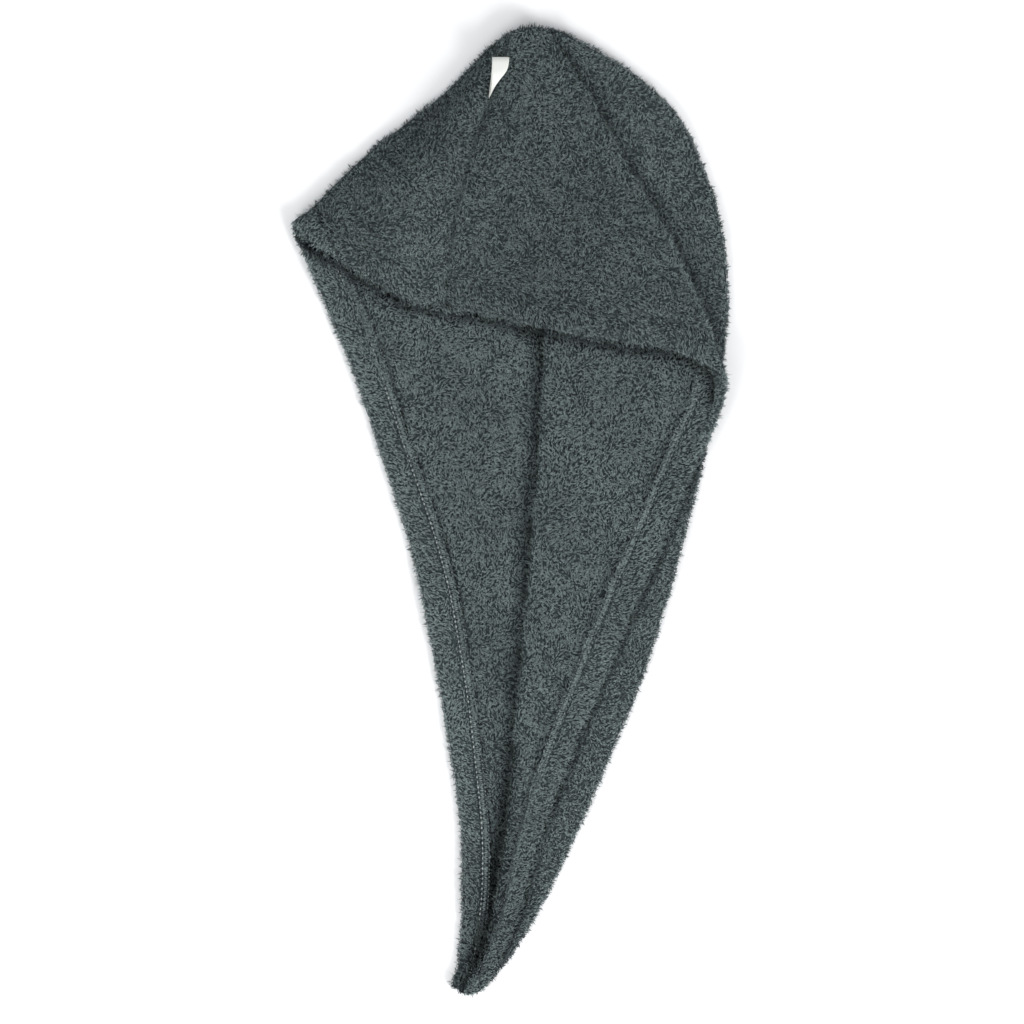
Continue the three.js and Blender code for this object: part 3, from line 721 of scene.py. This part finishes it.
def tuft_mesh(name, tufts, random):
    """Tufts that rise from their roots and lean over."""
    roots, out, flow, size = tufts["root"], tufts["out"], tufts["flow"], tufts["size"][:, None]
    count = len(roots)
    vary = lambda: 1 + TUFT_VARIES * random.uniform(-1, 1, (count, 1))
    long = TUFT_LENGTH * vary() * size
    high = TUFT_HEIGHT * vary() * size
    wide = TUFT_WIDTH * vary() * np.sqrt(size)
    curl = TUFT_CURL * random.uniform(-1, 1, (count, 1))
    side = unit(np.cross(out, flow))
    stand = EDGE_STAND * eased((EDGE_FROM - np.abs(out[:, 2:])) / EDGE_RANGE)
    forward = unit((1 - stand) * flow + stand * out)
    locks = EDGE_LOCKS * np.clip(smooth_waves(roots, LOCK_WAVE, LOCK_SEED), -1, 1)[:, None]
    long = long * (1 + (locks - EDGE_SHORT) * stand)
    high = high * (1 - stand)
    spine = np.stack([
        roots - TUFT_ROOT * out + long * YARN_FORWARD[k] * forward
        + high * YARN_UP[k] * out + curl * YARN_ASIDE[k] * side
        for k in range(len(YARN_UP))
    ], axis=1)
    roll = random.uniform(-TUFT_ROLL, TUFT_ROLL, (count, 1))
    across = unit(side * np.cos(roll) + out * np.sin(roll))
    over = unit(np.cross(flow, across))
    facing = np.sign((over * out).sum(axis=1, keepdims=True))
    # Each yarn's random tone, with the painted light and shade along it, times the painted shade and light of
    # its place.
    shade = (tufts["tone"][:, None] + YARN_PAINTED_LIGHT) * tufts["light"][:, None]
    return yarn_mesh(name, spine, across * facing, over * facing, wide, shade)


def tuft_flow(roots, out, inside, seed, random):
    """The direction in which each tuft lies over: coherent from one to the next, and square to a hem."""
    turn = np.where(inside, INSIDE_TURN, OUTSIDE_TURN) + FLOW_TURN * smooth_waves(roots, FLOW_WAVE, seed)
    turn += FLOW_SCATTER * random.normal(size=len(roots))
    level = np.stack([np.cos(turn), np.sin(turn), np.zeros(len(roots))], axis=1)
    for path, outward in ((left_hem, -1), (right_hem, 1), (front_hem, 1)):
        offset, side, _ = beside(path, roots)
        inward = -outward * offset
        weight = HEM_COMB * (1 - eased(inward / COMB_REACH - COMB_FULL)) * (inward > -CLOTH / 2)
        level[:, :2] += weight[:, None] * outward * side
    level = unit(level)
    flow = level - (level * out).sum(axis=1, keepdims=True) * out
    weak = np.linalg.norm(flow, axis=1) < WEAK_FLOW
    flow[weak] = np.cross(out[weak], level[weak]) + WEAK_FLOW * np.cross(out[weak], [0, 0, 1.0])
    return unit(flow)


def grow_pile(cloth, count, name, material, seed):
    """Tufts all over a piece of cloth, thick where it shows and thin underneath."""
    random = np.random.default_rng(seed)
    points, triangles = cloth["points"], cloth["triangles"]
    chosen = random.choice(len(triangles), count, p=cloth["areas"] / cloth["areas"].sum())
    first, second = random.uniform(size=(2, count, 1))
    over = first + second > 1
    first, second = np.where(over, 1 - first, first), np.where(over, 1 - second, second)
    shares = np.stack([1 - first - second, first, second], axis=1)
    blend = lambda values: (values[triangles[chosen]] * shares).sum(axis=1)
    roots = blend(points)
    out = unit(blend(cloth["normals"]))
    inside = below_mouth(roots) & (beside(right_hem, roots)[0] < 0)
    size = np.where(out[:, 2] < FACES_DOWN, UNDER_SIZE, 1.0)
    for path, short, reach, shown in THIN_LINES:
        near = (1 - eased(np.abs(beside(path, roots)[0]) / reach)) * within(roots, shown)
        size *= 1 - (1 - short) * near
    low = np.where(inside, INSIDE_TONES[0], OUTSIDE_TONES[0])
    high = np.where(inside, INSIDE_TONES[1], OUTSIDE_TONES[1])
    tone = random.uniform(low, high) + PATCH_TONE * smooth_waves(roots, PATCH_WAVE, seed + 1)
    tufts = {
        "root": roots,
        "out": out,
        "flow": tuft_flow(roots, out, inside, seed + 2, random),
        "size": size,
        "tone": tone,
        # painted shade of sheltered places, with the painted shade and light of the lines and patches
        "light": blend(cloth["light"][:, None])[:, 0] * painted_line_light(roots),
    }
    order = np.argsort(roots[:, 1])
    parts = max(1, math.ceil(count / MOST_TUFTS_IN_A_PIECE))
    pieces = []
    for i, members in enumerate(np.array_split(order, parts)):
        part_name = f"{name}_{i + 1}"
        mesh = tuft_mesh(part_name, {key: values[members] for key, values in tufts.items()}, random)
        pieces.append(add_object(part_name, mesh, material))
    return pieces


def heights(tree, places):
    """Height of the topmost cloth at places in X and Y, or -1 beside it."""
    down = Vector((0, 0, -1))
    hits = [tree.ray_cast(Vector((x, y, ABOVE_ALL)), down)[0] for x, y in places]
    return np.array([-1 if hit is None else hit.z for hit in hits])


def sew(name, starts, ends, shown, cloth_tree, tree, wide, lift, material, seed):
    """A yarn from each start to its end, over the top of one cloth where nothing covers it. It rises by lift
    where it is shown."""
    random = np.random.default_rng(seed)
    flat = np.stack([starts + (ends - starts) * share for share in YARN_FORWARD], axis=1)
    places = flat.reshape(-1, 2)
    own = heights(cloth_tree, places).reshape(-1, len(YARN_UP))
    top = heights(tree, places).reshape(-1, len(YARN_UP))
    free = (own > 0).all(axis=1) & (np.abs(own - top) < COVERED).all(axis=1)
    free &= below_mouth(places, CLOTH / 2).reshape(-1, len(YARN_UP)).all(axis=1)
    flat, own = flat[free], own[free]
    lifted = lift * within(flat[:, 1], shown)[:, None]
    spine = np.concatenate([flat, (own + lifted * YARN_UP)[:, :, None]], axis=2)
    ahead = unit(spine[:, -1] - spine[:, 0])
    up = np.array([0, 0, 1.0])
    across = unit(np.cross(up, ahead))
    over = unit(np.cross(ahead, across))
    # A random tone for each stitch, with the yarn's painted light and shade along it.
    shade = random.uniform(*THREAD_SHADES, (len(spine), 1)) + YARN_PAINTED_LIGHT
    width = wide * (1 + TUFT_VARIES * random.uniform(-1, 1, (len(spine), 1)))
    return add_object(name, yarn_mesh(name, spine, across, over, width, shade), material)


def sew_hem(name, needle, serge, shown, cloth_tree, tree, thread, soft_thread, seed):
    """A hem's straight stitches, and the overlocking of its raw edge beside them."""
    starts, ends = stretches(needle, STITCH_PITCH, STITCH_COVER)
    stitches = sew(
        f"{name}_stitches", starts, ends, shown, cloth_tree, tree, STITCH_WIDTH, STITCH_LIFT, thread, seed,
    )
    inner = stretches(needle, OVERLOCK_PITCH, 1)
    longer = lengths_along(serge)[-1] / lengths_along(needle)[-1]
    outer = stretches(serge, OVERLOCK_PITCH * longer, 1)
    count = min(len(inner[0]), len(outer[0]))
    from_places = np.concatenate([inner[0][:count], outer[0][:count], outer[0][:count]])
    to_places = np.concatenate([outer[0][:count], inner[1][:count], outer[1][:count]])
    overlock = sew(
        f"{name}_overlock", from_places, to_places, shown, cloth_tree, tree, OVERLOCK_WIDTH, OVERLOCK_LIFT,
        soft_thread, seed + 1,
    )
    return [stitches, overlock]


# Setting

def add_light(name, place, size, power):
    light = bpy.data.lights.new(name, "AREA")
    light.size = size
    light.energy = power
    lamp = bpy.data.objects.new(name, light)
    lamp.location = place
    lamp.rotation_euler = (-Vector(place)).to_track_quat("-Z", "Y").to_euler()
    bpy.context.scene.collection.objects.link(lamp)


def studio():
    bpy.ops.mesh.primitive_plane_add(size=FLOOR_SIZE, location=(0, 0, 0))
    floor = bpy.context.object
    floor.name = "floor"
    material, _, _, shader = new_material("floor")
    shader.inputs["Base Color"].default_value = (*FLOOR_COLOR, 1)
    shader.inputs["Roughness"].default_value = 0.9
    floor.data.materials.append(material)
    for light in LIGHTS:
        add_light(*light)
    world = bpy.data.worlds.new("studio")
    bpy.context.scene.world = world
    world.use_nodes = True
    sky = world.node_tree.nodes["Background"]
    sky.inputs["Color"].default_value = (*SKY_COLOR, 1)
    sky.inputs["Strength"].default_value = SKY_STRENGTH
    camera = bpy.data.cameras.new("camera")
    camera.sensor_width = SENSOR
    camera.lens = SENSOR * CAMERA_HEIGHT / (PIXEL * PICTURE)
    eye = bpy.data.objects.new("camera", camera)
    eye.location = (VIEW_X, VIEW_Y, CAMERA_HEIGHT + MIDDLE_HEIGHT)
    bpy.context.scene.collection.objects.link(eye)
    bpy.context.scene.camera = eye
    bpy.context.scene.view_settings.view_transform = "Standard"


studio()
ground = terry_ground()
pile = yarn("terry_pile", PILE_COLORS, PILE_SHEEN)
thread = yarn("sewing_thread", THREAD_COLORS, 0.0)
soft_thread = yarn("overlock_thread", SOFT_THREAD_COLORS, 0.0)
left_cloth = soft_copy("left_panel", "left_cloth", ground)
right_cloth = soft_copy("right_panel", "right_cloth", ground)
loop = soft_copy("elastic_loop", "tape_loop", woven_tape())
for cloth in (left_cloth, right_cloth):
    shape_cloth(cloth)
narrow_tape(loop)

tree = tree_of([left_cloth, right_cloth])
left_survey = survey(left_cloth, tree)
right_survey = survey(right_cloth, tree)
left_area, right_area = left_survey["areas"].sum(), right_survey["areas"].sum()
left_count = int(TUFTS_IN_ALL * left_area / (left_area + right_area))
left_pile = grow_pile(left_survey, left_count, "left_pile", pile, LEFT_PILE_SEED)
right_count = TUFTS_IN_ALL - left_count
right_pile = grow_pile(right_survey, right_count, "right_pile", pile, RIGHT_PILE_SEED)
left_tree, right_tree = tree_of([left_cloth]), tree_of([right_cloth])
left_sewing = sew_hem(
    "left_hem", left_needle, left_serge, LEFT_SHOWN, left_tree, tree, thread, soft_thread, LEFT_HEM_SEED,
)
right_sewing = sew_hem(
    "right_hem", right_needle, right_serge, RIGHT_SHOWN, right_tree, tree, soft_thread, soft_thread,
    RIGHT_HEM_SEED,
)

for cloth, node, yarns in (
    (left_cloth, "left_panel", left_pile + left_sewing),
    (right_cloth, "right_panel", right_pile + right_sewing),
):
    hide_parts(node)
    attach(cloth, "root")
    for piece in yarns:
        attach(piece, "root")
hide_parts("elastic_loop")
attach(loop, "root")
